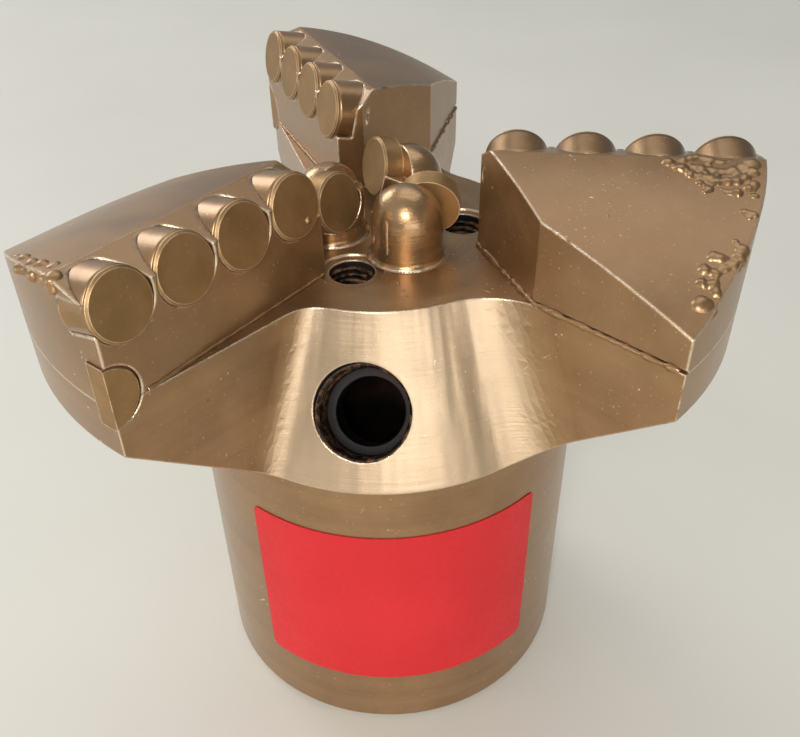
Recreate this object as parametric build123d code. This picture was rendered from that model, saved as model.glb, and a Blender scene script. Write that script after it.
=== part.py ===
from build123d import *
import os
from math import atan2, cos, hypot, radians, sin, sqrt, tan

# Steel-body drill bit with three wings, cutting end up, resting on its shank.
# The Z axis is the axis of rotation and z = 0 is the end of the shank.
# Every wing is made with its outward direction along +X and the way it turns along +Y,
# and is then turned to its own azimuth.

# ---------------------------------------------------------------- driving dimensions (mm, degrees)
# Overall
BIT_DIAMETER = 158.75          # gauge, 6 1/4 in
GAUGE_RELIEF = 0.4             # the wings stand this far inside the gauge
WING_COUNT = 3
FIRST_WING_AZIMUTH = 112.0

# Shank and crown
SHANK_DIAMETER = 95.25
SHANK_END_CHAMFER = 1.0
NECK_HEIGHT = 84.0             # where the underside of the crown leaves the shank
CROWN_HEIGHT = 121.5           # flat floor that carries the wings
GAUGE_LAND_HEIGHT = 10.9       # full gauge below that floor, down to the slanting underside

# Tapered box connection in the shank, 2 3/8 regular
COUNTERBORE_DIAMETER = 68.26
COUNTERBORE_DEPTH = 15.9
PITCH_DIAMETER = 60.08         # of the taper, at the bottom of the counterbore
TAPER_PER_LENGTH = 1 / 4       # loss of diameter along the axis
PIN_LENGTH = 76.2
CHAMBER_TOP_HEIGHT = 104.0     # roof of the water chamber above the pin

# Junk slot between two wings
SLOT_TOP_RADIUS = 34.2         # its root at the crown floor
SLOT_ROOT_ANGLE = 20.3         # lean of the root from the axis
SLOT_FLANK_TOE = 6.3           # turn of the leading flank from the face of the wing
SLOT_FLANK_MEETS_FACE = 73.3   # radius where flank and face cross
SLOT_LEADING_FILLET = 8.0
SLOT_TRAILING_FILLET = 17.0

# Side port in each junk slot
PORT_LEAD_ANGLE = 30.5         # ahead of the wing
PORT_RIM_HEIGHT = 101.4
PORT_TILT = 38.0               # of its axis above level
PORT_THREAD_DIAMETER = 21.0
PORT_THREAD_DEPTH = 16.0
PORT_BORE_DIAMETER = 15.8

# Face nozzle hole beside each wing
NOZZLE_RADIUS_OUT = 18.8
NOZZLE_LEAD_ANGLE = 16.9
NOZZLE_DIAMETER = 10.0
NOZZLE_SPOT_DIAMETER = 14.0
NOZZLE_SPOT_DEPTH = 0.4

# Wing block, welded on the crown floor
FACE_OFFSET = 1.8              # leading face, ahead of the radial line
INNER_END_RADIUS = 22.5        # leading inner corner
INNER_STRIP_WIDTH = 6.7        # narrow inner facet behind that corner
INNER_STRIP_TURN = 4.0
TOE_RADIUS = 34.2              # inner corner of the trailing wall, outwards
TOE_SETBACK = 30.0             # and behind the leading face
HEEL_SETBACK = 51.4            # outer corner of the trailing wall, behind the leading face
FACE_HEIGHT = 20.8             # leading face above the crown
RIDGE_HEIGHT = 23.8            # highest line of the wing above the crown
RIDGE_SETBACK = 10.2
RELIEF_ANGLE = 9.3             # fall of the back just behind the ridge
RELIEF_RADIUS = 103.5          # the back falls ever faster on this radius
WELD_PREP = 1.0                # chamfer along the trailing foot
INNER_FACET_REACH = 30.0       # ground facet at the inner end of the ridge, out to this radius
INNER_FACET_DROP = 1.0         # of that facet below the ridge, over the inner corner
INNER_FACET_SLOPE = 34.0       # fall of the facet towards the leading face

# Cutters
CUTTER_DIAMETER = 13.44
CUTTER_LENGTH = 8.0
CUTTER_EDGE = 0.45
CUTTERS_PER_WING = 4
CUTTER_PITCH = 14.4
CUTTER_FACE_HEIGHT = 18.7      # centre of the face above the crown
CUTTER_RAKE = 12.0
BRAZE_GAP = 0.15
OPEN_POCKET_DROP = 4.4         # ledge under the innermost cutter, below its centre
OPEN_POCKET_LENGTH = 4.6       # part of that cutter that lies open towards the axis
GAUGE_CUTTER_LENGTH = 4.5
GAUGE_CUTTER_HEIGHT = 2.4      # centre above the crown

# Centre post and the cutter it carries
POST_DIAMETER = 15.6
POST_OUT = 6.7                 # axis of the post, outwards
POST_SETBACK = 9.6             # and behind the radial line
POST_DOME_HEIGHT = 8.4         # centre of the dome above the crown
POST_FOOT_RADIUS = 1.2
CENTRE_CUTTER_OUT = 11.2
CENTRE_CUTTER_SETBACK = 2.7
CENTRE_CUTTER_HEIGHT = 10.7    # centre of the face above the crown
CENTRE_CUTTER_LENGTH = 4.5
CENTRE_POCKET_SHOULDER = 0.5   # cradle edge above the cutter's centre line

# Sticker on the shank
LABEL_AZIMUTH = -88.5
LABEL_SPAN = 87.0
LABEL_BOTTOM = 18.3
LABEL_HEIGHT = 51.9
LABEL_THICKNESS = 0.2
LABEL_GLUE = 0.05              # under the sticker
LABEL_CORNER = 1.5

# ---------------------------------------------------------------- worked out from them
BIT_RADIUS = BIT_DIAMETER / 2
WING_RADIUS = BIT_RADIUS - GAUGE_RELIEF
GAUGE_FOOT_HEIGHT = CROWN_HEIGHT - GAUGE_LAND_HEIGHT
SHANK_RADIUS = SHANK_DIAMETER / 2
CUTTER_RADIUS = CUTTER_DIAMETER / 2
POST_RADIUS = POST_DIAMETER / 2
CHAMBER_RADIUS = PITCH_DIAMETER / 2 - (PIN_LENGTH - COUNTERBORE_DEPTH) * TAPER_PER_LENGTH / 2
WING_STEP = 360 / WING_COUNT
REACH = BIT_DIAMETER           # longer than anything that a cut has to clear

FACE_CORNER = (INNER_END_RADIUS, FACE_OFFSET)
STRIP_CORNER = (
    INNER_END_RADIUS - INNER_STRIP_WIDTH * sin(radians(INNER_STRIP_TURN)),
    FACE_OFFSET - INNER_STRIP_WIDTH * cos(radians(INNER_STRIP_TURN)),
)
TOE_CORNER = (TOE_RADIUS, FACE_OFFSET - TOE_SETBACK)
HEEL_Y = FACE_OFFSET - HEEL_SETBACK
HEEL_CORNER = (sqrt(WING_RADIUS**2 - HEEL_Y**2), HEEL_Y)


def all_wings(shape):
    """The same shape at every wing."""
    return [shape.rotate(Axis.Z, FIRST_WING_AZIMUTH + i * WING_STEP) for i in range(WING_COUNT)]


def turned(point, angle):
    """A point of the plan, turned about the axis."""
    a = radians(angle)
    return (point[0] * cos(a) - point[1] * sin(a), point[0] * sin(a) + point[1] * cos(a))


def along(start, end, distance):
    """The point at a distance from start on the line through start and end."""
    span = hypot(end[0] - start[0], end[1] - start[1])
    return tuple(s + (e - s) * distance / span for s, e in zip(start, end))


def crossing(a, b, c, d):
    """Where the line through a and b meets the line through c and d."""
    ab = (b[0] - a[0], b[1] - a[1])
    cd = (d[0] - c[0], d[1] - c[1])
    t = ((c[0] - a[0]) * cd[1] - (c[1] - a[1]) * cd[0]) / (ab[0] * cd[1] - ab[1] * cd[0])
    return (a[0] + ab[0] * t, a[1] + ab[1] * t)


# ---------------------------------------------------------------- places of the cutters
def cutter_plane(out, ahead, height, rake):
    """Plane on a cutter's face: Z leaves the face, Y points up and X points to the axis."""
    normal = (0, cos(radians(rake)), sin(radians(rake)))
    return Plane(origin=(out, ahead, CROWN_HEIGHT + height), x_dir=(-1, 0, 0), z_dir=normal)


FACE_CUTTER_PLANES = [
    cutter_plane(BIT_RADIUS - CUTTER_RADIUS - i * CUTTER_PITCH, FACE_OFFSET, CUTTER_FACE_HEIGHT, CUTTER_RAKE)
    for i in range(CUTTERS_PER_WING)
]
GAUGE_CUTTER_PLANE = cutter_plane(BIT_RADIUS, FACE_OFFSET, GAUGE_CUTTER_HEIGHT, 0)
CENTRE_CUTTER_PLANE = cutter_plane(
    CENTRE_CUTTER_OUT, -CENTRE_CUTTER_SETBACK, CENTRE_CUTTER_HEIGHT, CUTTER_RAKE
)


def cutter_blank(length):
    """Round carbide cutter with its face at z = 0 and a small chamfer round the face."""
    blank = Cylinder(CUTTER_RADIUS, length, align=(Align.CENTER, Align.CENTER, Align.MAX))
    return chamfer(blank.edges().sort_by(Axis.Z)[-1], CUTTER_EDGE)


def pocket(length):
    """Bore that takes a cutter, open in front of its face."""
    depth = Pos(0, 0, -length)
    return depth * Cylinder(
        CUTTER_RADIUS + BRAZE_GAP,
        length + CUTTER_DIAMETER,
        align=(Align.CENTER, Align.CENTER, Align.MIN),
    )


def gauge_round(height):
    """Cylinder of the full gauge, from the shank's end up to a height."""
    return Cylinder(BIT_RADIUS, height, align=(Align.CENTER, Align.CENTER, Align.MIN))


# ---------------------------------------------------------------- shank and crown
def slot_section(height):
    """Plan of one junk slot at a height: a wedge outside the root circle, with filleted corners."""
    root = SLOT_TOP_RADIUS + (CROWN_HEIGHT - height) * tan(radians(SLOT_ROOT_ANGLE))
    flank_out = (SLOT_FLANK_MEETS_FACE, FACE_OFFSET)
    flank_in = (0, FACE_OFFSET + SLOT_FLANK_MEETS_FACE * tan(radians(SLOT_FLANK_TOE)))
    wall_in = turned(TOE_CORNER, WING_STEP)
    wall_out = turned(HEEL_CORNER, WING_STEP)
    apex = crossing(flank_in, flank_out, wall_in, wall_out)
    far = [along(apex, flank_out, REACH), along(apex, wall_out, REACH)]
    section = make_face(Polyline(apex, *far, close=True)) - Circle(root)
    corners = section.vertices().sort_by(lambda v: hypot(v.X, v.Y))[:2].sort_by(Axis.Y)
    section = fillet(corners[0], SLOT_LEADING_FILLET)
    corners = section.vertices().filter_by(lambda v: abs(hypot(v.X, v.Y) - root) < 1e-4)
    section = fillet(corners.sort_by(Axis.Y)[-1], SLOT_TRAILING_FILLET)
    return Pos(0, 0, height) * section


def junk_slot():
    """Slot ahead of a wing, from above the crown floor down to where its root leaves the shank."""
    drop = (SHANK_RADIUS - SLOT_TOP_RADIUS) / tan(radians(SLOT_ROOT_ANGLE))
    margin = 2.0
    return loft([slot_section(CROWN_HEIGHT - drop - margin), slot_section(CROWN_HEIGHT + margin)], ruled=True)


def side_port():
    """Threaded port that opens in the slot's root and leads down into the water chamber."""
    rim_radius = SLOT_TOP_RADIUS + (CROWN_HEIGHT - PORT_RIM_HEIGHT) * tan(radians(SLOT_ROOT_ANGLE))
    inward = (-cos(radians(PORT_TILT)), 0, -sin(radians(PORT_TILT)))
    rim = Plane(origin=(rim_radius, 0, PORT_RIM_HEIGHT), x_dir=(0, 1, 0), z_dir=inward)
    to_chamber = (rim_radius - CHAMBER_RADIUS / 2) / cos(radians(PORT_TILT))
    upright = (Align.CENTER, Align.CENTER, Align.MIN)
    thread = Pos(0, 0, -PORT_THREAD_DEPTH) * Cylinder(
        PORT_THREAD_DIAMETER / 2, 2 * PORT_THREAD_DEPTH, align=upright
    )
    bore = Cylinder(PORT_BORE_DIAMETER / 2, to_chamber, align=upright)
    return (rim * (thread + bore)).rotate(Axis.Z, PORT_LEAD_ANGLE)


def face_nozzle_hole():
    """Tapped hole through the crown floor into the chamber, with a shallow spot face."""
    down = (Align.CENTER, Align.CENTER, Align.MAX)
    into_chamber = (CROWN_HEIGHT - CHAMBER_TOP_HEIGHT) * 1.1
    hole = Cylinder(NOZZLE_DIAMETER / 2, into_chamber, align=down)
    spot = Cylinder(NOZZLE_SPOT_DIAMETER / 2, NOZZLE_SPOT_DEPTH, align=down)
    return (Pos(NOZZLE_RADIUS_OUT, 0, CROWN_HEIGHT) * (hole + spot)).rotate(Axis.Z, NOZZLE_LEAD_ANGLE)


def box_connection():
    """Counterbore, tapered seat of the thread and water chamber, bored from the shank's end."""
    mouth = COUNTERBORE_DIAMETER / 2
    outline = Polyline(
        (0, 0),
        (mouth, 0),
        (mouth, COUNTERBORE_DEPTH),
        (PITCH_DIAMETER / 2, COUNTERBORE_DEPTH),
        (CHAMBER_RADIUS, PIN_LENGTH),
        (CHAMBER_RADIUS, CHAMBER_TOP_HEIGHT),
        (0, CHAMBER_TOP_HEIGHT),
        close=True,
    )
    return revolve(Plane.XZ * make_face(outline), Axis.Z)


def bit_body():
    """Shank and crown in one piece, with slots, ports, holes and the feet of the gauge pockets."""
    outline = Polyline(
        (0, 0),
        (SHANK_RADIUS - SHANK_END_CHAMFER, 0),
        (SHANK_RADIUS, SHANK_END_CHAMFER),
        (SHANK_RADIUS, NECK_HEIGHT),
        (WING_RADIUS, GAUGE_FOOT_HEIGHT),
        (WING_RADIUS, CROWN_HEIGHT),
        (0, CROWN_HEIGHT),
        close=True,
    )
    body = revolve(Plane.XZ * make_face(outline), Axis.Z) - box_connection()
    gauge_pocket = GAUGE_CUTTER_PLANE * pocket(GAUGE_CUTTER_LENGTH)
    for cut in (junk_slot(), side_port(), face_nozzle_hole(), gauge_pocket):
        body -= all_wings(cut)
    return body


# ---------------------------------------------------------------- wing block
def wing_plan():
    """Outline of the block on the crown floor."""
    face_out = (sqrt(WING_RADIUS**2 - FACE_OFFSET**2), FACE_OFFSET)
    middle = atan2(HEEL_CORNER[1], HEEL_CORNER[0]) / 2
    gauge_middle = (WING_RADIUS * cos(middle), WING_RADIUS * sin(middle))
    edges = [
        Line(FACE_CORNER, face_out),
        ThreePointArc(face_out, gauge_middle, HEEL_CORNER),
        Polyline(HEEL_CORNER, TOE_CORNER, STRIP_CORNER, FACE_CORNER),
    ]
    return make_face(edges)


def wing_side():
    """Section across the block: leading face, front bevel, ridge and the falling back."""
    ridge = (FACE_OFFSET - RIDGE_SETBACK, RIDGE_HEIGHT)
    centre = (
        ridge[0] + RELIEF_RADIUS * sin(radians(RELIEF_ANGLE)),
        ridge[1] - RELIEF_RADIUS * cos(radians(RELIEF_ANGLE)),
    )
    tail_y = HEEL_Y - WELD_PREP
    middle_y = (ridge[0] + tail_y) / 2
    middle = (middle_y, centre[1] + sqrt(RELIEF_RADIUS**2 - (middle_y - centre[0]) ** 2))
    tail = (tail_y, centre[1] + sqrt(RELIEF_RADIUS**2 - (tail_y - centre[0]) ** 2))
    edges = [
        ThreePointArc(ridge, middle, tail),
        Polyline(tail, (tail_y, 0), (FACE_OFFSET, 0), (FACE_OFFSET, FACE_HEIGHT), ridge),
    ]
    return make_face(edges)


def open_pocket():
    """Notch that lays the innermost cutter open towards the axis, above a ledge."""
    width = 2 * CUTTER_DIAMETER
    notch = Box(width, width, width, align=(Align.MIN, Align.MIN, Align.MIN))
    return FACE_CUTTER_PLANES[-1] * Pos(0, -OPEN_POCKET_DROP, -OPEN_POCKET_LENGTH) * notch


def inner_facet():
    """What is ground off in front of the ridge at the inner end of the block."""
    ridge_top = CROWN_HEIGHT + RIDGE_HEIGHT
    ridge_point = (STRIP_CORNER[0], FACE_OFFSET - RIDGE_SETBACK, ridge_top)
    fall = radians(INNER_FACET_SLOPE)
    across = atan2(INNER_FACET_DROP, INNER_FACET_REACH - STRIP_CORNER[0])
    slope = Plane(
        origin=ridge_point,
        x_dir=(cos(across), 0, sin(across)),
        z_dir=(-sin(across) * cos(fall), sin(fall), cos(across) * cos(fall)),
    )
    above = slope * Box(REACH, REACH, REACH, align=(Align.CENTER, Align.CENTER, Align.MIN))
    inner_end = Pos(INNER_FACET_REACH, 0, CROWN_HEIGHT) * Box(
        REACH, REACH, REACH, align=(Align.MAX, Align.CENTER, Align.CENTER)
    )
    return above & inner_end


def wing():
    """Thick block that carries the cutters."""
    block = extrude(wing_plan(), RIDGE_HEIGHT) & extrude(Plane.YZ * wing_side(), REACH)
    foot = block.edges().filter_by(lambda e: e.center().Z < 1e-4 and e.center().Y < STRIP_CORNER[1])
    block = Pos(0, 0, CROWN_HEIGHT) * chamfer(foot.filter_by(GeomType.LINE), WELD_PREP)
    for plane in FACE_CUTTER_PLANES:
        block -= plane * pocket(CUTTER_LENGTH)
    block -= GAUGE_CUTTER_PLANE * pocket(GAUGE_CUTTER_LENGTH)
    return block - open_pocket() - inner_facet()


# ---------------------------------------------------------------- centre posts
def centre_post():
    """Turned post with a round top and a flared foot, cut open to cradle its cutter."""
    cap = POST_DOME_HEIGHT + POST_RADIUS
    foot = POST_RADIUS + POST_FOOT_RADIUS
    shoulder = POST_RADIUS * sin(radians(45))
    outline = [
        Line((0, 0), (foot, 0)),
        RadiusArc((foot, 0), (POST_RADIUS, POST_FOOT_RADIUS), POST_FOOT_RADIUS),
        Line((POST_RADIUS, POST_FOOT_RADIUS), (POST_RADIUS, POST_DOME_HEIGHT)),
        ThreePointArc((POST_RADIUS, POST_DOME_HEIGHT), (shoulder, POST_DOME_HEIGHT + shoulder), (0, cap)),
        Line((0, cap), (0, 0)),
    ]
    post = Pos(POST_OUT, -POST_SETBACK, CROWN_HEIGHT) * revolve(Plane.XZ * make_face(outline), Axis.Z)
    room = Box(
        2 * POST_DIAMETER,
        POST_DIAMETER,
        CENTRE_CUTTER_LENGTH + CUTTER_DIAMETER,
        align=(Align.CENTER, Align.MIN, Align.MIN),
    )
    above = CENTRE_CUTTER_PLANE * Pos(0, CENTRE_POCKET_SHOULDER, -CENTRE_CUTTER_LENGTH) * room
    return post - above - CENTRE_CUTTER_PLANE * pocket(CENTRE_CUTTER_LENGTH)


# ---------------------------------------------------------------- sticker
def shank_label():
    """Thin sticker with rounded corners, wrapped on the shank."""
    width = 2 * SHANK_RADIUS * sin(radians(LABEL_SPAN / 2))
    middle = LABEL_BOTTOM + LABEL_HEIGHT / 2
    level = (Align.CENTER,) * 3
    inside = SHANK_RADIUS + LABEL_GLUE
    skin = Cylinder(inside + LABEL_THICKNESS, LABEL_HEIGHT, align=level)
    skin -= Cylinder(inside, LABEL_HEIGHT, align=level)
    stamp = extrude(Plane.YZ * RectangleRounded(width, LABEL_HEIGHT, LABEL_CORNER), SHANK_DIAMETER)
    return (Pos(0, 0, middle) * (skin & stamp)).rotate(Axis.Z, LABEL_AZIMUTH)


# ---------------------------------------------------------------- write the pieces
def pieces():
    """Every piece of the bit, by name."""
    made = {"bit_body": bit_body(), "shank_label": shank_label()}
    blank = cutter_blank(CUTTER_LENGTH)
    families = {
        "wing": wing(),
        "centre_post": centre_post(),
        "centre_cutter": CENTRE_CUTTER_PLANE * cutter_blank(CENTRE_CUTTER_LENGTH),
        "gauge_cutter": GAUGE_CUTTER_PLANE * cutter_blank(GAUGE_CUTTER_LENGTH) & gauge_round(REACH),
    }
    for name, shape in families.items():
        for number, copy in enumerate(all_wings(shape), 1):
            made[f"{name}_{number}"] = copy
    for place, plane in enumerate(FACE_CUTTER_PLANES, 1):
        for number, copy in enumerate(all_wings(plane * blank), 1):
            made[f"face_cutter_{number}_{place}"] = copy
    return made


os.makedirs("parts", exist_ok=True)
for name, shape in pieces().items():
    export_step(shape, f"parts/{name}.step")
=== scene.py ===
import math
import random

import bpy
from mathutils import Matrix, Vector


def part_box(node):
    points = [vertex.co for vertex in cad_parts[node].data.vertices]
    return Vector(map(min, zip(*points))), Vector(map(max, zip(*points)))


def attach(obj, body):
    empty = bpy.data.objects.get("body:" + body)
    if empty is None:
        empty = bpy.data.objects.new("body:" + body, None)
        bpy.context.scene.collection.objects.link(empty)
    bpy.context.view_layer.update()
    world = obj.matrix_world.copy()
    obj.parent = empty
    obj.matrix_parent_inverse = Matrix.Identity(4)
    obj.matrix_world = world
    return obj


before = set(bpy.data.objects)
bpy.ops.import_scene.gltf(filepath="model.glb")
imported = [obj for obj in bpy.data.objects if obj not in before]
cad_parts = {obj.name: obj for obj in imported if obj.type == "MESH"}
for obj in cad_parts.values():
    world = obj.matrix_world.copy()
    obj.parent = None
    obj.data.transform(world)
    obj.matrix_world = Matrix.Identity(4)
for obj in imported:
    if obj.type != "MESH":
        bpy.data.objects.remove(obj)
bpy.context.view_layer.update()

MM = 0.001
WINGS = 3
PLACES = 4
BODY = "root"

# ---------------------------------------------------------------- sizes of the drill bit, in metres
FIRST_WING = math.radians(112)
WING_STEP = math.tau / WINGS
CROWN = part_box("bit_body")[1][2]     # level top that the wings stand on
SHANK_RADIUS = 47.625 * MM
BIT_RADIUS = 79.375 * MM
GROUND_RADIUS = 79.25 * MM           # braze is ground back to this
GAUGE_RADIUS = 78.975 * MM           # outer ends of the wing blocks
FACE_AHEAD = 1.8 * MM                # wing's cutting face, ahead of the line through the axis
SLOT_TOP_RADIUS = 34.2 * MM
SLOT_SLOPE = math.tan(math.radians(20.3))
CUTTER_RADIUS = 6.72 * MM
CUTTER_LENGTH = 8.0 * MM
CUTTER_PITCH = 14.4 * MM
CUTTER_RAKE = math.radians(12)
CUTTER_RISE = 18.7 * MM
CUTTER_OUT = BIT_RADIUS - CUTTER_RADIUS
POST_OUT = 6.7 * MM
POST_BACK = 9.6 * MM
# corners of a wing's foot, outward and forward
TOE = Vector((34.2, -28.2)) * MM
HEEL = Vector((61.47, -49.6)) * MM
STRIP = Vector((22.03, -4.88)) * MM
INNER = Vector((22.5, 1.8)) * MM
PORT_LEAD = math.radians(30.5)
PORT_TILT = math.radians(38)
PORT_RIM = 101.4 * MM
PORT_RADIUS = 10.5 * MM
NOZZLE_OUT = 18.8 * MM
NOZZLE_LEAD = math.radians(16.9)
NOZZLE_RADIUS = 5.0 * MM


def wing_frame(number, lead=0.0):
    """Turn from a wing's own outward, forward and up axes to the frame, ahead by a lead."""
    return Matrix.Rotation(FIRST_WING + number * WING_STEP + lead, 4, "Z")


# ---------------------------------------------------------------- shader helpers
def linear(red, green, blue):
    """A paint colour written as 0 to 255, as the shader wants it."""
    parts = []
    for value in (red, green, blue):
        value /= 255
        parts.append(value / 12.92 if value <= 0.04045 else ((value + 0.055) / 1.055) ** 2.4)
    return (*parts, 1.0)


class Nodes:
    """Short ways to add and join shader nodes in one tree."""

    def __init__(self, tree):
        self.tree = tree

    def add(self, kind, **values):
        node = self.tree.nodes.new(kind)
        for name, value in values.items():
            setattr(node, name, value)
        return node

    def feed(self, socket, value):
        if isinstance(value, bpy.types.NodeSocket):
            self.tree.links.new(value, socket)
        else:
            socket.default_value = value

    def math(self, operation, a, b=0.0, c=0.0):
        node = self.add("ShaderNodeMath", operation=operation)
        for socket, value in zip(node.inputs, (a, b, c)):
            self.feed(socket, value)
        return node.outputs[0]

    def ramp(self, value, low, high, to_low=0.0, to_high=1.0):
        node = self.add("ShaderNodeMapRange", interpolation_type="SMOOTHSTEP")
        for socket, item in zip(node.inputs, (value, low, high, to_low, to_high)):
            self.feed(socket, item)
        return node.outputs[0]

    def mix(self, share, a, b):
        node = self.add("ShaderNodeMix", data_type="RGBA")
        self.feed(node.inputs[0], share)
        self.feed(node.inputs[6], a)
        self.feed(node.inputs[7], b)
        return node.outputs[2]

    def noise(self, vector, scale, detail=2.0, roughness=0.5):
        node = self.add("ShaderNodeTexNoise")
        self.feed(node.inputs["Vector"], vector)
        node.inputs["Scale"].default_value = scale
        node.inputs["Detail"].default_value = detail
        node.inputs["Roughness"].default_value = roughness
        return node.outputs["Fac"]

    def group(self, tree, **values):
        node = self.add("ShaderNodeGroup", node_tree=tree)
        for name, value in values.items():
            self.feed(node.inputs[name.replace("_", " ")], value)
        return node.outputs


def new_group(name, inputs, outputs):
    """Empty shader group with named sockets; gives its Nodes helper, inputs and outputs."""
    tree = bpy.data.node_groups.new(name, "ShaderNodeTree")
    for label, kind, value in inputs:
        socket = tree.interface.new_socket(name=label, in_out="INPUT", socket_type=kind)
        if value is not None:
            socket.default_value = value
    for label, kind in outputs:
        tree.interface.new_socket(name=label, in_out="OUTPUT", socket_type=kind)
    nodes = Nodes(tree)
    return tree, nodes, nodes.add("NodeGroupInput").outputs, nodes.add("NodeGroupOutput").inputs


def turning_marks():
    """Fine rings about an upright axis: lines of equal height on walls, circles on level faces."""
    tree, n, given, out = new_group(
        "turning marks",
        [("Position", "NodeSocketVector", None), ("Pitch", "NodeSocketFloat", 1400.0)],
        [("Height", "NodeSocketFloat"), ("Tone", "NodeSocketFloat")],
    )
    apart = n.add("ShaderNodeSeparateXYZ")
    n.feed(apart.inputs[0], given["Position"])
    x, y, z = apart.outputs
    radius = n.math("SQRT", n.math("ADD", n.math("MULTIPLY", x, x), n.math("MULTIPLY", y, y)))
    angle = n.math("ARCTAN2", y, x)
    facing = n.add("ShaderNodeSeparateXYZ")
    n.feed(facing.inputs[0], n.add("ShaderNodeNewGeometry").outputs["True Normal"])
    level = n.ramp(n.math("ABSOLUTE", facing.outputs["Z"]), 0.75, 0.95)
    travel = n.math("ADD", z, n.math("MULTIPLY", level, n.math("SUBTRACT", radius, z)))
    lines = n.add("ShaderNodeCombineXYZ")
    n.feed(lines.inputs[0], n.math("MULTIPLY", travel, given["Pitch"]))
    n.feed(lines.inputs[1], n.math("MULTIPLY", angle, 1.2))
    fine = n.noise(lines.outputs[0], 1.0, 3.0, 0.7)
    broad = n.noise(lines.outputs[0], 0.16, 2.0)
    n.feed(out["Height"], n.math("ADD", fine, n.math("MULTIPLY", broad, 0.7)))
    n.feed(out["Tone"], n.math("MULTIPLY_ADD", broad, 0.6, n.math("MULTIPLY", fine, 0.4)))
    return tree


def paint_grain():
    """Speckle of a sprayed metallic paint, with larger soft clouds and a few bright grains painted in as
    glints.
    """
    tree, n, given, out = new_group(
        "paint grain",
        [("Position", "NodeSocketVector", None), ("Size", "NodeSocketFloat", 1.0)],
        [("Height", "NodeSocketFloat"), ("Cloud", "NodeSocketFloat"), ("Glint", "NodeSocketFloat")],
    )
    sized = n.add("ShaderNodeVectorMath", operation="SCALE")
    n.feed(sized.inputs[0], given["Position"])
    n.feed(sized.inputs["Scale"], given["Size"])
    where = sized.outputs[0]
    n.feed(out["Height"], n.noise(where, 2600.0, 3.0, 0.6))
    n.feed(out["Cloud"], n.noise(where, 75.0, 4.0, 0.6))
    n.feed(out["Glint"], n.ramp(n.noise(where, 1500.0, 1.0), 0.70, 0.80))
    return tree


def edge_wear_and_highlight():
    """Mask of the edges made bright by handling and by a painted highlight, broken up by noise, and their
    rounded normal.
    """
    tree, n, given, out = new_group(
        "edge wear",
        [("Position", "NodeSocketVector", None), ("Width", "NodeSocketFloat", EDGE_WIDTH)],
        [("Mask", "NodeSocketFloat"), ("Normal", "NodeSocketVector")],
    )
    rounded = n.add("ShaderNodeBevel", samples=6)
    n.feed(rounded.inputs["Radius"], given["Width"])
    dot = n.add("ShaderNodeVectorMath", operation="DOT_PRODUCT")
    n.feed(dot.inputs[0], rounded.outputs[0])
    n.feed(dot.inputs[1], n.add("ShaderNodeNewGeometry").outputs["Normal"])
    edge = n.ramp(dot.outputs["Value"], 0.995, 0.90)
    broken = n.ramp(n.noise(given["Position"], 420.0, 4.0, 0.7), 0.30, 0.50)
    n.feed(out["Mask"], n.math("MULTIPLY", edge, broken))
    n.feed(out["Normal"], rounded.outputs[0])
    return tree


def scratches():
    """Sparse thin scratches that lie across one direction."""
    tree, n, given, out = new_group(
        "scratches",
        [("Position", "NodeSocketVector", None), ("Turn", "NodeSocketFloat", 0.6)],
        [("Mask", "NodeSocketFloat")],
    )
    turn = n.add("ShaderNodeVectorRotate", rotation_type="EULER_XYZ")
    n.feed(turn.inputs["Vector"], given["Position"])
    angles = n.add("ShaderNodeCombineXYZ")
    for socket in angles.inputs:
        n.feed(socket, given["Turn"])
    n.feed(turn.inputs["Rotation"], angles.outputs[0])
    stretch = n.add("ShaderNodeVectorMath", operation="MULTIPLY")
    n.feed(stretch.inputs[0], turn.outputs[0])
    stretch.inputs[1].default_value = (40.0, 1500.0, 900.0)
    lines = n.noise(stretch.outputs[0], 1.0, 1.0)
    where = n.ramp(n.noise(given["Position"], 45.0, 2.0), 0.52, 0.62)
    n.feed(out["Mask"], n.math("MULTIPLY", n.ramp(lines, 0.72, 0.78), where))
    return tree


EDGE_WIDTH = 0.6 * MM
TURNING = turning_marks()
GRAIN = paint_grain()
EDGE_WEAR_AND_HIGHLIGHT = edge_wear_and_highlight()
SCRATCH = scratches()

# ---------------------------------------------------------------- finishes
PAINT_METAL = 0.80
PAINT_COAT = 0.45
CLOUD_TONE = 0.17
GOLD = linear(172, 136, 95)
GOLD_DEEP = linear(130, 96, 60)
# near-white gold: painted glints and edge highlights, and the bare metal of scratches and handled edges
GOLD_BRIGHT = linear(246, 222, 190)
# near-white gold, painted on the slots' root as a highlight
SLOT_ROOT_HIGHLIGHT = linear(232, 210, 180)
RUST_DARK = linear(52, 32, 20)
# near black, painted as shade deep inside the bores
BORE_SHADE_BLACK = linear(14, 11, 9)
SMUDGES = (
    (Vector((-34.4, -49.3, 112.4)) * MM, 0.5 * MM),
    (Vector((2.7, -23.5, 121.5)) * MM, 0.15 * MM),
)


def start_material(name):
    """Empty material with its Principled shader and object coordinates."""
    material = bpy.data.materials.new(name)
    material.use_nodes = True
    n = Nodes(material.node_tree)
    shader = material.node_tree.nodes["Principled BSDF"]
    where = n.add("ShaderNodeTexCoord").outputs["Object"]
    return material, n, shader, where


def surface_bump(n, shader, *layers, normal=None):
    """Bump layers (height, depth in metres) one over the other, over a normal, into the shader."""
    for height, depth in layers:
        bump = n.add("ShaderNodeBump")
        bump.inputs["Distance"].default_value = depth
        n.feed(bump.inputs["Height"], height)
        if normal is not None:
            n.feed(bump.inputs["Normal"], normal)
        normal = bump.outputs[0]
    n.feed(shader.inputs["Normal"], normal)


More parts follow.
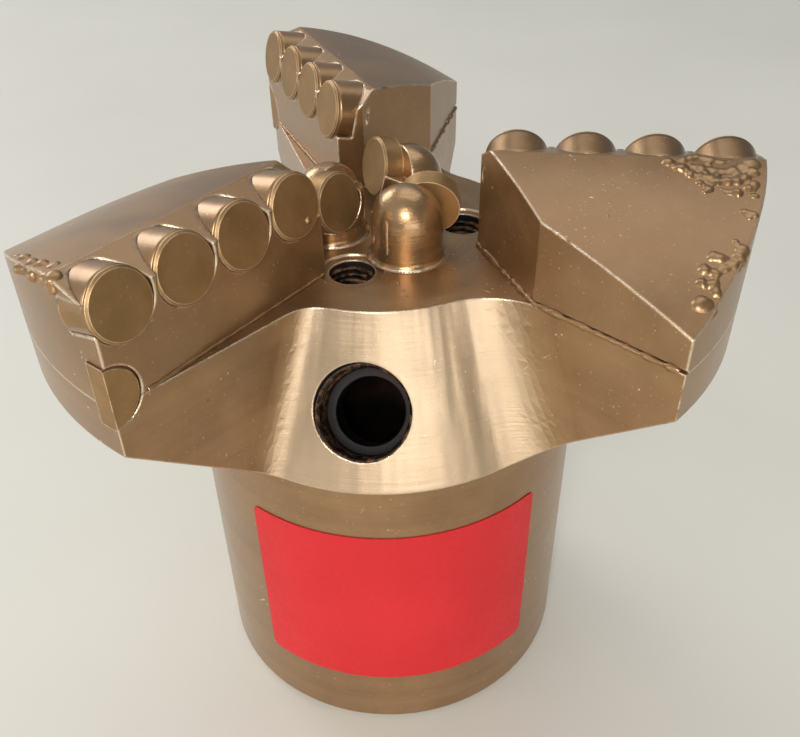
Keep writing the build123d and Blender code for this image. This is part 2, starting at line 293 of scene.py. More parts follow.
def gold_paint(name, tone=0.5, rough=0.40, marks=0.0, centre=(0.0, 0.0), wear_and_highlight=EDGE_WIDTH, bores=False):
    """Coppery gold paint on steel: grain, clouds, painted glints, tool marks, edges bright from handling and
    a painted highlight, and a few scratches.
    """
    material, n, shader, where = start_material(name)
    grain = n.group(GRAIN, Position=where)
    worn_and_lit = n.group(EDGE_WEAR_AND_HIGHLIGHT, Position=where, Width=wear_and_highlight)
    rubbed_and_lit = worn_and_lit["Mask"]
    cut = n.group(SCRATCH, Position=where)["Mask"]
    shift = n.add("ShaderNodeMapping")
    n.feed(shift.inputs["Vector"], where)
    shift.inputs["Location"].default_value = (-centre[0], -centre[1], 0.0)
    rings = n.group(TURNING, Position=shift.outputs[0])
    cloud = n.ramp(grain["Cloud"], 0.30, 0.72, tone - CLOUD_TONE, tone + CLOUD_TONE)
    shade = n.math("ADD", cloud, n.math("MULTIPLY", n.math("SUBTRACT", rings["Tone"], 0.5), marks))
    colour = n.mix(shade, GOLD_DEEP, GOLD)
    # painted glints: a few grains turned part way to near-white gold
    colour = n.mix(n.math("MULTIPLY", grain["Glint"], 0.35), colour, GOLD_BRIGHT)
    # edges bright from handling and also as a painted highlight, and scratches
    colour = n.mix(n.math("MAXIMUM", rubbed_and_lit, n.math("MULTIPLY", cut, 0.7)), colour, GOLD_BRIGHT)
    gloss = n.ramp(grain["Cloud"], 0.25, 0.75, rough - 0.05, rough + 0.07)
    gloss = n.math("SUBTRACT", gloss, n.math("MULTIPLY", rubbed_and_lit, 0.14))
    metal = PAINT_METAL
    coat = PAINT_COAT
    waves = (grain["Cloud"], 0.03 * MM)
    if bores:
        milled_and_lit_root = root_mask(n)
        # painted highlight: the slot root, picked by how it faces, turns part way to near-white gold
        colour = n.mix(n.math("MULTIPLY", milled_and_lit_root, 0.45), colour, SLOT_ROOT_HIGHLIGHT)
        colour = smudged(n, where, grain, colour)
        waves = (n.math("MULTIPLY", milled_and_lit_root, milling_waves(n, where)), 0.35 * MM)
        inside = bore_mask(n, where)
        # inside the bores: bare unpainted steel, rusty brown in patches, darkened to near black as painted
        # shade
        rusty_and_shaded_bore = n.mix(n.ramp(grain["Cloud"], 0.42, 0.66), BORE_SHADE_BLACK, RUST_DARK)
        colour = n.mix(inside, colour, rusty_and_shaded_bore)
        gloss = n.math("ADD", gloss, n.math("MULTIPLY", inside, 0.25))
        metal = n.ramp(inside, 0.0, 1.0, PAINT_METAL, 0.15)
        coat = n.ramp(inside, 0.0, 1.0, PAINT_COAT, 0.0)
    n.feed(shader.inputs["Base Color"], colour)
    n.feed(shader.inputs["Roughness"], gloss)
    n.feed(shader.inputs["Metallic"], metal)
    n.feed(shader.inputs["Coat Weight"], coat)
    shader.inputs["Coat Roughness"].default_value = rough * 0.6
    surface_bump(
        n,
        shader,
        (rings["Height"], 0.05 * MM * marks),
        (grain["Height"], 0.03 * MM),
        (grain["Cloud"], 0.10 * MM),
        waves,
        (cut, -0.04 * MM),
        normal=worn_and_lit["Normal"],
    )
    return material


def smudged(n, where, grain, colour):
    """The colour with a dark ragged smudge at each place of SMUDGES."""
    for spot, reach in SMUDGES:
        gap = n.add("ShaderNodeVectorMath", operation="DISTANCE")
        n.feed(gap.inputs[0], where)
        gap.inputs[1].default_value = spot
        ragged = n.math("MULTIPLY_ADD", grain["Height"], 0.8 * MM, gap.outputs["Value"])
        dark = n.ramp(ragged, reach + 0.4 * MM, reach - 0.2 * MM, 0.0, 0.7)
        colour = n.mix(dark, colour, RUST_DARK)
    return colour


def root_mask(n):
    """1 on the leaning root of the junk slots, which is machined by milling and catches the most light;
    there the colour is whitened as a painted highlight.
    """
    facing = n.add("ShaderNodeSeparateXYZ")
    n.feed(facing.inputs[0], n.add("ShaderNodeNewGeometry").outputs["True Normal"])
    up = facing.outputs["Z"]
    return n.math("MULTIPLY", n.ramp(up, 0.10, 0.26), n.ramp(up, 0.62, 0.42))


def milling_waves(n, where):
    """Soft upright facets round the axis with fine level lines across them."""
    apart = n.add("ShaderNodeSeparateXYZ")
    n.feed(apart.inputs[0], where)
    x, y, z = apart.outputs
    across = n.add("ShaderNodeCombineXYZ")
    n.feed(across.inputs[0], n.math("MULTIPLY", n.math("ARCTAN2", y, x), 11.0))
    n.feed(across.inputs[2], n.math("MULTIPLY", z, 26.0))
    lines = n.add("ShaderNodeCombineXYZ")
    n.feed(lines.inputs[0], n.math("MULTIPLY", n.math("ARCTAN2", y, x), 2.0))
    n.feed(lines.inputs[2], n.math("MULTIPLY", z, 1100.0))
    broad = n.noise(across.outputs[0], 1.0, 1.0)
    fine = n.noise(lines.outputs[0], 1.0, 2.0, 0.6)
    return n.math("MULTIPLY_ADD", fine, 0.16, broad)


def bore_mask(n, where):
    """1 inside the connection, the chamber and the ports: nearer the axis than the slots' roots."""
    apart = n.add("ShaderNodeSeparateXYZ")
    n.feed(apart.inputs[0], where)
    x, y, z = apart.outputs
    radius = n.math("SQRT", n.math("ADD", n.math("MULTIPLY", x, x), n.math("MULTIPLY", y, y)))
    root = n.math("MULTIPLY_ADD", n.math("SUBTRACT", CROWN, z), SLOT_SLOPE, SLOT_TOP_RADIUS)
    wall = n.math("MINIMUM", root, SHANK_RADIUS)
    within = n.ramp(n.math("SUBTRACT", wall, radius), 0.5 * MM, 1.4 * MM)
    below = n.ramp(n.math("SUBTRACT", CROWN, z), 0.3 * MM, 0.9 * MM)
    above = n.ramp(z, 0.2 * MM, 1.0 * MM)
    return n.math("MULTIPLY", within, n.math("MULTIPLY", below, above))


def cutter_paint():
    """Matt painted carbide whose ground edges stay bright, partly as a painted highlight."""
    material, n, shader, where = start_material("painted cutter")
    grain = n.group(GRAIN, Position=where, Size=1.4)
    rubbed_and_lit = n.group(EDGE_WEAR_AND_HIGHLIGHT, Position=where, Width=0.35 * MM)["Mask"]
    colour = n.mix(n.ramp(grain["Cloud"], 0.3, 0.7), linear(148, 116, 74), linear(166, 131, 88))
    # painted glints: a few grains turned part way to near-white gold
    colour = n.mix(n.math("MULTIPLY", grain["Glint"], 0.3), colour, GOLD_BRIGHT)
    # ground edges, bright partly from grinding and partly as a painted highlight
    colour = n.mix(rubbed_and_lit, colour, GOLD_BRIGHT)
    n.feed(shader.inputs["Base Color"], colour)
    n.feed(shader.inputs["Roughness"], n.ramp(grain["Cloud"], 0.3, 0.7, 0.42, 0.52))
    shader.inputs["Metallic"].default_value = 0.8
    surface_bump(n, shader, (grain["Height"], 0.03 * MM), (grain["Cloud"], 0.06 * MM))
    return material


def red_sticker():
    """Bare red vinyl with slight bubbles and a faint grain."""
    material, n, shader, where = start_material("red sticker")
    soft = n.noise(where, 38.0, 2.0)
    fine = n.noise(where, 900.0, 2.0)
    colour = n.mix(n.ramp(soft, 0.35, 0.7), linear(200, 16, 26), linear(208, 23, 32))
    n.feed(shader.inputs["Base Color"], colour)
    n.feed(shader.inputs["Roughness"], n.ramp(fine, 0.3, 0.7, 0.46, 0.56))
    shader.inputs["Metallic"].default_value = 0.0
    surface_bump(n, shader, (soft, 0.4 * MM), (fine, 0.01 * MM))
    return material


def rusty_thread():
    """Dark steel of the bare threads, rusted brown in patches."""
    material, n, shader, where = start_material("rusty thread")
    patches = n.noise(where, 600.0, 4.0, 0.7)
    colour = n.mix(n.ramp(patches, 0.45, 0.7), linear(40, 28, 19), linear(132, 94, 62))
    n.feed(shader.inputs["Base Color"], colour)
    n.feed(shader.inputs["Roughness"], n.ramp(patches, 0.3, 0.7, 0.35, 0.7))
    n.feed(shader.inputs["Metallic"], n.ramp(patches, 0.4, 0.6, 0.7, 0.2))
    surface_bump(n, shader, (patches, 0.12 * MM))
    return material


# ---------------------------------------------------------------- finish of the solid pieces
def dress(node, material):
    """Gives a solid piece its one finish."""
    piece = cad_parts[node]
    piece.data.materials.clear()
    piece.data.materials.append(material)


BODY_PAINT = gold_paint("body paint", tone=0.60, rough=0.36, marks=0.9, bores=True)
WING_PAINT = gold_paint("wing paint", tone=0.50, rough=0.40, wear_and_highlight=0.9 * MM)
CUTTER_PAINT = cutter_paint()
WELD_PAINT = gold_paint("weld paint", tone=0.62, rough=0.34, wear_and_highlight=0.3 * MM)
THREAD_STEEL = rusty_thread()

dress("bit_body", BODY_PAINT)
dress("shank_label", red_sticker())
for number in range(WINGS):
    axis = wing_frame(number) @ Vector((POST_OUT, -POST_BACK, 0.0))
    # the posts' paint is made much lighter, tone 0.95, as a painted highlight on their domes
    post_highlight_paint = gold_paint(f"post paint {number + 1}", tone=0.95, rough=0.24, marks=2.2, centre=axis[:2])
    dress(f"wing_{number + 1}", WING_PAINT)
    dress(f"centre_post_{number + 1}", post_highlight_paint)
    dress(f"centre_cutter_{number + 1}", CUTTER_PAINT)
    dress(f"gauge_cutter_{number + 1}", CUTTER_PAINT)
    for place in range(PLACES):
        dress(f"face_cutter_{number + 1}_{place + 1}", CUTTER_PAINT)


# ---------------------------------------------------------------- repeated forms, by geometry nodes
class Fields(Nodes):
    """The same short ways for a geometry tree, with its named sizes."""

    def __init__(self, name, sizes):
        tree = bpy.data.node_groups.new(name, "GeometryNodeTree")
        super().__init__(tree)
        tree.interface.new_socket(name="Geometry", in_out="INPUT", socket_type="NodeSocketGeometry")
        for label, value in sizes.items():
            kind = "NodeSocketInt" if isinstance(value, int) else "NodeSocketFloat"
            socket = tree.interface.new_socket(name=label, in_out="INPUT", socket_type=kind)
            socket.default_value = value
        tree.interface.new_socket(name="Geometry", in_out="OUTPUT", socket_type="NodeSocketGeometry")
        self.given = self.add("NodeGroupInput").outputs

    def copies(self, points, shape, **more):
        """Real copies of a shape at some points."""
        spread = self.add("GeometryNodeInstanceOnPoints")
        self.feed(spread.inputs["Points"], points)
        self.feed(spread.inputs["Instance"], shape)
        for name, value in more.items():
            self.feed(spread.inputs[name], value)
        real = self.add("GeometryNodeRealizeInstances")
        self.feed(real.inputs[0], spread.outputs[0])
        return real.outputs[0]

    def unevenness(self, where, scale):
        """Noise over a place, whose colour strays points and whose factor swells a bead."""
        rough = self.add("ShaderNodeTexNoise")
        self.feed(rough.inputs["Vector"], where)
        self.feed(rough.inputs["Scale"], scale)
        return rough.outputs

    def strayed(self, geometry, colour, reach):
        """Geometry whose points stray by a share of a reach, in each direction as a noise's colour says."""
        centred = self.add("ShaderNodeVectorMath", operation="SUBTRACT")
        self.feed(centred.inputs[0], colour)
        centred.inputs[1].default_value = (0.5, 0.5, 0.5)
        stray = self.add("ShaderNodeVectorMath", operation="SCALE")
        self.feed(stray.inputs[0], centred.outputs[0])
        self.feed(stray.inputs["Scale"], reach)
        moved = self.add("GeometryNodeSetPosition")
        self.feed(moved.inputs["Geometry"], geometry)
        self.feed(moved.inputs["Offset"], stray.outputs[0])
        return moved.outputs[0]

    def swept(self, curve, radius, sides, scale=1.0):
        """Closed solid from a round profile carried along a curve."""
        profile = self.add("GeometryNodeCurvePrimitiveCircle")
        profile.inputs["Resolution"].default_value = sides
        self.feed(profile.inputs["Radius"], radius)
        sweep = self.add("GeometryNodeCurveToMesh")
        self.feed(sweep.inputs["Curve"], curve)
        self.feed(sweep.inputs["Profile Curve"], profile.outputs[0])
        self.feed(sweep.inputs["Scale"], scale)
        sweep.inputs["Fill Caps"].default_value = True
        return sweep.outputs[0]

    def close(self, geometry, material):
        """Real geometry with its finish, as the tree's result."""
        real = self.add("GeometryNodeRealizeInstances")
        self.feed(real.inputs[0], geometry)
        finish = self.add("GeometryNodeSetMaterial")
        self.feed(finish.inputs["Geometry"], real.outputs[0])
        finish.inputs["Material"].default_value = material
        self.feed(self.add("NodeGroupOutput").inputs[0], finish.outputs[0])


def thread_tree():
    """Turns of a female thread about Z, from z = 0 down: a helix swept with a V profile."""
    n = Fields("thread turns", {"Radius": 0.005, "Pitch": 0.0015, "Turns": 10, "Depth": 0.0008})
    helix = n.add("GeometryNodeCurveSpiral")
    n.feed(helix.inputs["Start Radius"], n.given["Radius"])
    n.feed(helix.inputs["End Radius"], n.given["Radius"])
    helix.inputs["Resolution"].default_value = 40
    n.feed(helix.inputs["Rotations"], n.given["Turns"])
    length = n.math("MULTIPLY", n.given["Turns"], n.given["Pitch"])
    n.feed(helix.inputs["Height"], n.math("MULTIPLY", length, -1.0))
    n.close(n.swept(helix.outputs[0], n.given["Depth"], 4), THREAD_STEEL)
    return n.tree


def bead_tree():
    """Uneven weld bead along a path: the path wanders and the bead swells and thins."""
    n = Fields("weld bead", {"Radius": 0.0005, "Step": 0.0006, "Wander": 0.0003, "Seed": 0.0})
    even = n.add("GeometryNodeResampleCurve")
    even.mode = "LENGTH"
    n.feed(even.inputs["Curve"], n.given["Geometry"])
    n.feed(even.inputs["Length"], n.given["Step"])
    place = n.add("GeometryNodeInputPosition").outputs[0]
    offset = n.add("ShaderNodeVectorMath", operation="ADD")
    n.feed(offset.inputs[0], place)
    n.feed(offset.inputs[1], n.given["Seed"])
    rough = n.unevenness(offset.outputs[0], 500.0)
    swell = n.add("GeometryNodeSetCurveRadius")
    n.feed(swell.inputs["Curve"], n.strayed(even.outputs[0], rough["Color"], n.given["Wander"]))
    n.feed(swell.inputs["Radius"], n.ramp(rough["Fac"], 0.35, 0.65, 0.45, 1.0))
    radius = n.add("GeometryNodeInputRadius")
    n.close(n.swept(swell.outputs[0], n.given["Radius"], 8, radius.outputs[0]), WELD_PAINT)
    return n.tree


def grown(name, tree, sizes, source, place=Matrix(), melt=0.0):
    """Runs a tree on a source and keeps the result as a plain mesh at a place.

    With a melt size, what the tree made is fused into one skin of that grain and smoothed.
    """
    modifier = source.modifiers.new("grow", "NODES")
    modifier.node_group = tree
    for item in tree.interface.items_tree:
        if item.in_out == "INPUT" and item.name in sizes:
            modifier[item.identifier] = sizes[item.name]
    if melt:
        fused = source.modifiers.new("melt", "REMESH")
        fused.mode = "VOXEL"
        fused.voxel_size = melt
        soft = source.modifiers.new("soften", "SMOOTH")
        soft.factor = 0.6
        soft.iterations = 7
    seen = bpy.context.evaluated_depsgraph_get()
    mesh = bpy.data.meshes.new_from_object(source.evaluated_get(seen), depsgraph=seen)
    if melt:
        mesh.materials.clear()
        mesh.materials.append(WELD_PAINT)
    bpy.data.objects.remove(source)
    mesh.transform(place)
    mesh.name = name
    for polygon in mesh.polygons:
        polygon.use_smooth = True
    return placed(name, mesh)


def placed(name, data):
    """New object in the scene that shows some data."""
    thing = bpy.data.objects.new(name, data)
    bpy.context.collection.objects.link(thing)
    return thing


def point_source(name):
    """Nearly empty mesh that a tree can start from."""
    mesh = bpy.data.meshes.new(name)
    mesh.from_pydata([(0, 0, 0)], [], [])
    return placed(name, mesh)


def path_source(name, points):
    """Straight-run curve through some points."""
    curve = bpy.data.curves.new(name, "CURVE")
    curve.dimensions = "3D"
    spline = curve.splines.new("POLY")
    spline.points.add(len(points) - 1)
    for item, point in zip(spline.points, points):
        item.co = (*point, 1.0)
    return placed(name, curve)


def join(name, pieces):
    """One piece from several."""
    with bpy.context.temp_override(active_object=pieces[0], selected_editable_objects=pieces):
        bpy.ops.object.join()
    pieces[0].name = name
    return pieces[0]


def finished(piece):
    """Settles a made piece on the body."""
    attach(piece, BODY)
    return piece


# ---------------------------------------------------------------- threads in the ports and holes
PORT_TURNS = {"Radius": PORT_RADIUS, "Pitch": 2.0 * MM, "Turns": 6, "Depth": 0.85 * MM}
PORT_TURNS_DOWN = 3.6 * MM
NOZZLE_TURNS = {"Radius": NOZZLE_RADIUS, "Pitch": 1.5 * MM, "Turns": 9, "Depth": 0.65 * MM}
NOZZLE_TURNS_DOWN = 1.3 * MM


def port_axis(number):
    """Rim centre and outward direction of a side port."""
    rim = SLOT_TOP_RADIUS + (CROWN - PORT_RIM) * SLOT_SLOPE
    turn = wing_frame(number, PORT_LEAD)
    outward = turn @ Vector((math.cos(PORT_TILT), 0, math.sin(PORT_TILT)))
    return turn @ Vector((rim, 0, PORT_RIM)), outward


def threads(tree):
    """Thread turns in each side port, along its axis, and in each upright face hole."""
    for number in range(WINGS):
        rim, outward = port_axis(number)
        along = outward.to_track_quat("Z", "Y").to_matrix().to_4x4()
        place = Matrix.Translation(rim - outward * PORT_TURNS_DOWN) @ along
        port = grown(f"port_thread_{number + 1}", tree, PORT_TURNS, point_source("port thread"), place)
        finished(port)
        angle = FIRST_WING + number * WING_STEP + NOZZLE_LEAD
        top = Vector((NOZZLE_OUT * math.cos(angle), NOZZLE_OUT * math.sin(angle), CROWN - NOZZLE_TURNS_DOWN))
        place = Matrix.Translation(top)
        hole = grown(f"nozzle_thread_{number + 1}", tree, NOZZLE_TURNS, point_source("nozzle thread"), place)
        finished(hole)


threads(thread_tree())


# ---------------------------------------------------------------- weld beads at the feet of the wings
BEAD_LIFT = 0.25 * MM
BEAD_STEP = 0.7 * MM
BEAD_WANDER = 0.5 * MM
BACK_BEAD = 0.95 * MM
FRONT_BEAD = 0.50 * MM
FRONT_BEAD_SHORT = 7.5 * MM          # of the gauge, where the gauge cutter sits
HEEL_SHARE = 0.04                    # of the back bead left off at the heel


def beads(tree):
    """Thin weld beads along the back and the front of each wing's foot."""
    level = CROWN + BEAD_LIFT
    out = math.sqrt(GAUGE_RADIUS**2 - FACE_AHEAD**2)
    for number in range(WINGS):
        turn = wing_frame(number)
        start = HEEL.lerp(TOE, HEEL_SHARE)
        back = [(*point, level) for point in (start, TOE, STRIP)]
        front = [(*STRIP, level), (*INNER, level), (out - FRONT_BEAD_SHORT, FACE_AHEAD, level)]
        made = []
        for run, (path, radius) in enumerate(((back, BACK_BEAD), (front, FRONT_BEAD))):
            seed = 0.37 * (number + 1) + run
            sizes = {"Radius": radius, "Step": BEAD_STEP, "Wander": BEAD_WANDER, "Seed": seed}
            made.append(grown(f"run {run}", tree, sizes, path_source("weld path", path), turn))
        finished(join(f"foot_weld_{number + 1}", made))


beads(bead_tree())


# ---------------------------------------------------------------- braze round the cutters
BRAZE_THICKNESS = 0.08 * MM
BRAZE_UNEVEN = 0.12 * MM
BRAZE_START = 0.9 * MM               # behind the cutters' faces
BRAZE_SHORT = 0.7 * MM               # of the cutters' length


def braze_tree():
    """Row of sleeves behind the cutters' faces, a little uneven, that fill the pockets."""
    sizes = {"Count": PLACES, "Pitch": 0.01, "Radius": 0.007, "Length": 0.007, "Start": 0.001}
    n = Fields("braze sleeves", sizes)
    row = n.add("GeometryNodeMeshLine")
    n.feed(row.inputs["Count"], n.given["Count"])
    step = n.add("ShaderNodeCombineXYZ")
    n.feed(step.inputs[0], n.math("MULTIPLY", n.given["Pitch"], -1.0))
    n.feed(row.inputs["Offset"], step.outputs[0])
    first = n.add("ShaderNodeCombineXYZ")
    middle = n.math("ADD", n.given["Start"], n.math("MULTIPLY", n.given["Length"], 0.5))
    n.feed(first.inputs[2], n.math("MULTIPLY", middle, -1.0))
    n.feed(row.inputs["Start Location"], first.outputs[0])
    sleeve = n.add("GeometryNodeMeshCylinder")
    sleeve.inputs["Vertices"].default_value = 72
    sleeve.inputs["Side Segments"].default_value = 12
    n.feed(sleeve.inputs["Radius"], n.given["Radius"])
    n.feed(sleeve.inputs["Depth"], n.given["Length"])
    sleeves = n.copies(row.outputs[0], sleeve.outputs["Mesh"])
    rough = n.unevenness(n.add("GeometryNodeInputPosition").outputs[0], 260.0)
    n.close(n.strayed(sleeves, rough["Color"], BRAZE_UNEVEN), WELD_PAINT)
    return n.tree


def braze(tree):
    """Braze of each wing's row of cutters, ground back to the gauge at the outermost one."""
    lean = Matrix.Rotation(CUTTER_RAKE - math.pi / 2, 4, "X")
    sizes = {
        "Pitch": CUTTER_PITCH,
        "Radius": CUTTER_RADIUS + BRAZE_THICKNESS,
        "Length": CUTTER_LENGTH - BRAZE_SHORT,
        "Start": BRAZE_START,
    }
    for number in range(WINGS):
        place = wing_frame(number) @ Matrix.Translation((CUTTER_OUT, FACE_AHEAD, CROWN + CUTTER_RISE)) @ lean
        row = grown(f"braze_{number + 1}", tree, sizes, point_source("braze"), place)
        for vertex in row.data.vertices:
            reach = vertex.co.xy.length
            if reach > GROUND_RADIUS:
                vertex.co.xy *= GROUND_RADIUS / reach
        finished(row)


braze(braze_tree())


# ---------------------------------------------------------------- crusts of weld and spatter
def crust_tree():
    """Balls of their own size at the points of a mesh, roughened together."""
    n = Fields("weld crust", {"Rough": 0.001, "Grain": 420.0})
    ball = n.add("GeometryNodeMeshIcoSphere")
    ball.inputs["Radius"].default_value = 1.0
    ball.inputs["Subdivisions"].default_value = 4
    size = n.add("GeometryNodeInputNamedAttribute", data_type="FLOAT")
    size.inputs["Name"].default_value = "size"
    balls = n.copies(n.given["Geometry"], ball.outputs["Mesh"], Scale=size.outputs[0])
    rough = n.unevenness(n.add("GeometryNodeInputPosition").outputs[0], n.given["Grain"])
    n.close(n.strayed(balls, rough["Color"], n.given["Rough"]), WELD_PAINT)
    return n.tree


def ball_source(name, balls):
    """Mesh of loose points, each with the size of its ball; places and sizes in millimetres."""
    mesh = bpy.data.meshes.new(name)
    mesh.from_pydata([[c * MM for c in place] for place, size in balls], [], [])
    sizes = mesh.attributes.new("size", "FLOAT", "POINT")
    for item, (place, size) in zip(sizes.data, balls):
        item.value = size * MM
    return placed(name, mesh)


def strewn(places, size, sink, normal, spread, copies, chance):
    """Balls sunk along a normal at each place, with smaller ones strewn about."""
    balls = []
    outward = Vector(normal)
    for place in places:
        balls.append((Vector(place) - outward * sink, size * chance.uniform(0.85, 1.15)))
        for _ in range(copies):
            stray = Vector(chance.uniform(-spread, spread) for axis in range(3))
            stray -= outward * stray.dot(outward)
            part = chance.uniform(0.4, 0.8)
            balls.append((Vector(place) + stray - outward * sink * part, size * part))
    return balls


# places of the rough weld and the drips, in millimetres
RIDGE_3 = (   # along the rough ridge of the right wing
    (57.1, -18.5, 144.9), (59.0, -20.6, 144.6), (60.6, -22.4, 144.3), (62.3, -23.4, 144.1),
    (63.8, -24.2, 144.0), (65.3, -25.2, 143.8), (67.0, -25.6, 143.7), (68.7, -25.5, 143.8),
    (70.8, -24.4, 144.1), (72.4, -23.2, 144.5),
)
PATCH_3 = (   # between that ridge and the cutters
    (61.3, -19.5, 144.9), (62.9, -21.0, 144.6), (65.2, -21.2, 144.7), (66.9, -22.2, 144.5),
    (69.2, -22.4, 144.5), (71.4, -21.3, 144.8), (72.9, -20.2, 145.1), (61.8, -17.5, 145.2),
    (65.5, -18.5, 145.2), (68.9, -19.1, 145.1),
)
BELOW_3 = (   # loose lumps below the ridge
    (61.8, -25.5, 143.6), (62.9, -27.3, 143.2), (66.4, -28.4, 143.0), (68.0, -28.8, 143.0),
    (70.5, -27.7, 143.4), (72.0, -26.6, 143.7), (71.2, -30.0, 142.8), (68.2, -33.8, 141.5),
    (69.6, -34.5, 141.3),
)
HEEL_3 = (   # at the heel of the same wing
    (65.1, -41.3, 138.5), (65.7, -42.1, 138.3), (64.9, -43.6, 137.5), (63.6, -45.1, 136.8),
    (59.9, -43.4, 137.3), (61.5, -43.5, 137.4), (58.1, -45.6, 136.2), (60.0, -46.1, 136.0),
    (61.6, -45.5, 136.4), (57.1, -48.0, 134.9), (59.2, -48.3, 134.9), (59.3, -49.8, 134.1),
)
CORNER_2 = (   # at the outer corner of the left-front wing
    (-65.4, -42.3, 140.9), (-62.8, -45.4, 142.2), (-60.0, -49.1, 143.5), (-57.5, -51.2, 144.2),
    (-55.4, -53.0, 144.8), (-59.0, -52.0, 143.7), (-55.8, -55.4, 144.7), (-54.1, -56.3, 145.1),
    (-54.3, -57.0, 144.0), (-62.0, -48.4, 142.8),
)
DRIPS = (   # paint drips, each with its size
    ((2.9, -23.3, 121.5), 0.35), ((4.1, -26.1, 121.5), 0.25), ((4.6, -28.4, 121.5), 0.30),
    ((6.3, -33.0, 121.4), 0.30), ((42.7, -32.5, 140.7), 0.28), ((39.0, -16.3, 144.9), 0.22),
    ((52.9, -21.4, 144.3), 0.22), ((56.1, -23.2, 143.9), 0.25), ((48.7, -52.2, 127.9), 0.28),
)


# outward directions of the surfaces there, and single lumps, in the same millimetres
SLOPE_3 = (-0.03, -0.22, 0.97)
HEEL_SLOPE_3 = (-0.06, -0.43, 0.90)
CORNER_SLOPE_2 = (-0.2, 0.0, 0.98)
HEEL_LUMP = ((56.8, -50.4, 130.6), 3.3)
DISC_BEAD = ((-14.95, -22.98, 136.5), 0.80)
SEAM_BALLS = 22
SEAM_TOP = (0.95, -16.7, 132.2)
SEAM_PITCH = 0.35
SEAM_BALL = 0.36

MELT_GRAIN = 0.28 * MM


def crusts(tree):
    """Built-up weld on two wings, the drips, the seam of the front post and a bead on one cutter."""
    chance = random.Random(11)
    patch = strewn(RIDGE_3, 1.75, 0.95, SLOPE_3, 1.0, 1, chance)
    patch += strewn(PATCH_3, 2.7, 2.15, SLOPE_3, 1.6, 1, chance)
    patch += strewn(BELOW_3, 1.4, 0.95, SLOPE_3, 1.2, 1, chance)
    heel = strewn(HEEL_3, 1.5, 1.05, HEEL_SLOPE_3, 1.0, 1, chance)
    heel += [HEEL_LUMP]
    corner = strewn(CORNER_2, 1.5, 1.00, CORNER_SLOPE_2, 0.9, 1, chance)
    x, y, top = SEAM_TOP
    seam = [((x, y, top - SEAM_PITCH * step), SEAM_BALL) for step in range(SEAM_BALLS)]
    makes = (
        ("top_crust", patch, 1.1 * MM, MELT_GRAIN, "wing_steel"),
        ("heel_crust", heel, 0.9 * MM, MELT_GRAIN, "wing_steel"),
        ("corner_crust", corner, 0.9 * MM, MELT_GRAIN, "wing_steel"),
        ("drips", DRIPS, 0.05 * MM, 0.0, "body_steel"),
        ("post_seam", seam, 0.25 * MM, 0.0, "post_steel"),
        ("disc_bead", [DISC_BEAD], 0.02 * MM, 0.0, "cutter"),
    )
    for name, balls, rough, melt, slot in makes:
        finished(grown(name, tree, {"Rough": rough}, ball_source(name, balls), melt=melt))


crusts(crust_tree())


# ---------------------------------------------------------------- camera, floor and light
CAMERA_PLACE = (0, -0.1851, 0.2207)
CAMERA_YAW = math.radians(1.42)
CAMERA_DROP = math.radians(37.58)
CAMERA_ROLL = math.radians(-0.79)
CAMERA_LENS = 40.56
CAMERA_SHIFT = (-0.0057, 0.0133)


def camera():
    """View from above, slightly to the right of the front."""
    data = bpy.data.cameras.new("camera")
    data.sensor_width = 36.0
    data.lens = CAMERA_LENS
    data.shift_x, data.shift_y = CAMERA_SHIFT
    data.clip_start = 0.01
    yaw, pitch, roll = CAMERA_YAW, CAMERA_DROP, CAMERA_ROLL
    forward = Vector((math.sin(yaw) * math.cos(pitch), math.cos(yaw) * math.cos(pitch), -math.sin(pitch)))
    right = Vector((math.cos(yaw), -math.sin(yaw), 0))
    up = right.cross(forward)
    tilted_right = right * math.cos(roll) + up * math.sin(roll)
    tilted_up = up * math.cos(roll) - right * math.sin(roll)
    pose = Matrix((tilted_right, tilted_up, -forward)).transposed().to_4x4()
    seen = placed("camera", data)
    seen.matrix_world = Matrix.Translation(CAMERA_PLACE) @ pose
    bpy.context.scene.camera = seen


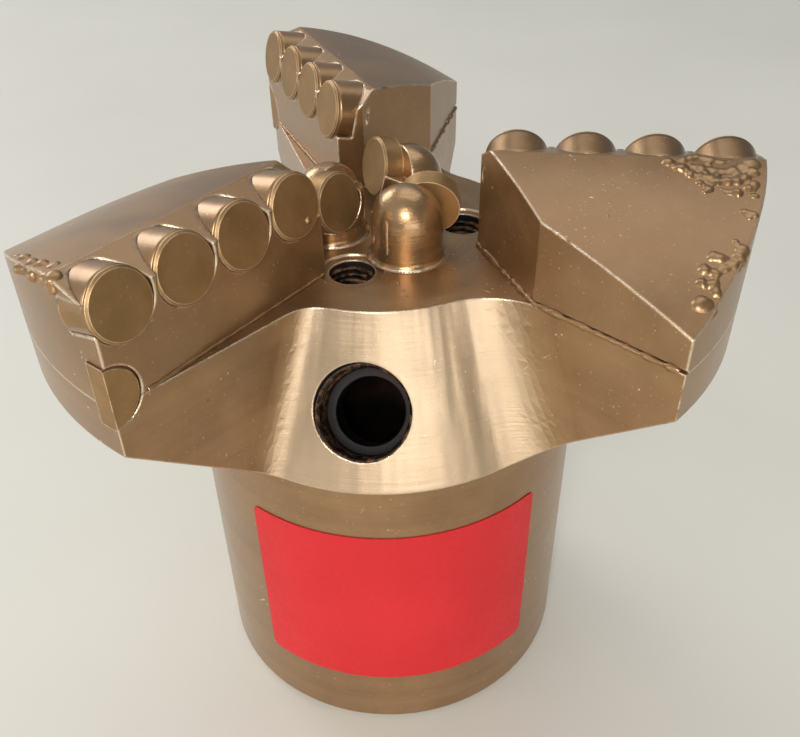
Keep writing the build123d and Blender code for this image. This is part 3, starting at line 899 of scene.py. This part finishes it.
def floor():
    """Plain pale floor under the bit."""
    mesh = bpy.data.meshes.new("floor")
    reach = 6.0
    corners = [(-reach, -reach, 0), (reach, -reach, 0), (reach, reach, 0), (-reach, reach, 0)]
    mesh.from_pydata(corners, [], [(0, 1, 2, 3)])
    ground = placed("floor", mesh)
    material, n, shader, where = start_material("pale floor")
    cloud = n.noise(where, 9.0, 4.0)
    n.feed(shader.inputs["Base Color"], n.mix(cloud, linear(226, 222, 210), linear(214, 210, 198)))
    shader.inputs["Roughness"].default_value = 0.55
    mesh.materials.append(material)


def softbox(name, place, aim, size, power, tint=(1, 1, 1)):
    """Large soft lamp at a place, turned to what it lights."""
    data = bpy.data.lights.new(name, "AREA")
    data.shape = "RECTANGLE"
    data.size, data.size_y = size
    data.energy = power
    data.color = tint
    lamp = placed(name, data)
    lamp.location = place
    lamp.rotation_euler = (Vector(aim) - Vector(place)).to_track_quat("-Z", "Y").to_euler()


WARM = (1.0, 0.985, 0.96)
COOL = (0.97, 0.985, 1.0)


def light():
    """Soft lamps in front, on the left, overhead and behind, in a room that is brighter on the left."""
    middle = (0, 0, 0.08)
    softbox("window", (-0.16, -1.25, 1.0), middle, (0.55, 0.45), 14.0, WARM)
    softbox("low window", (0.34, -1.40, 0.16), middle, (1.1, 0.30), 4.6, WARM)
    softbox("left window", (-1.5, -0.55, 0.42), middle, (0.9, 0.7), 5.0)
    softbox("overhead", (0.2, 0.5, 1.6), middle, (1.4, 1.2), 6.0, COOL)
    softbox("side", (-1.2, 1.3, 1.1), (-0.4, 0.9, 0), (0.9, 0.9), 11.0)
    world = bpy.data.worlds.new("room")
    world.use_nodes = True
    n = Nodes(world.node_tree)
    sky = world.node_tree.nodes["Background"]
    sky.inputs["Color"].default_value = (0.80, 0.84, 0.88, 1)
    apart = n.add("ShaderNodeSeparateXYZ")
    n.feed(apart.inputs[0], n.add("ShaderNodeTexCoord").outputs["Generated"])
    n.feed(sky.inputs["Strength"], n.ramp(apart.outputs[0], -0.8, 0.8, 0.60, 0.16))
    bpy.context.scene.world = world
    bpy.context.scene.view_settings.view_transform = "Standard"


camera()
floor()
light()
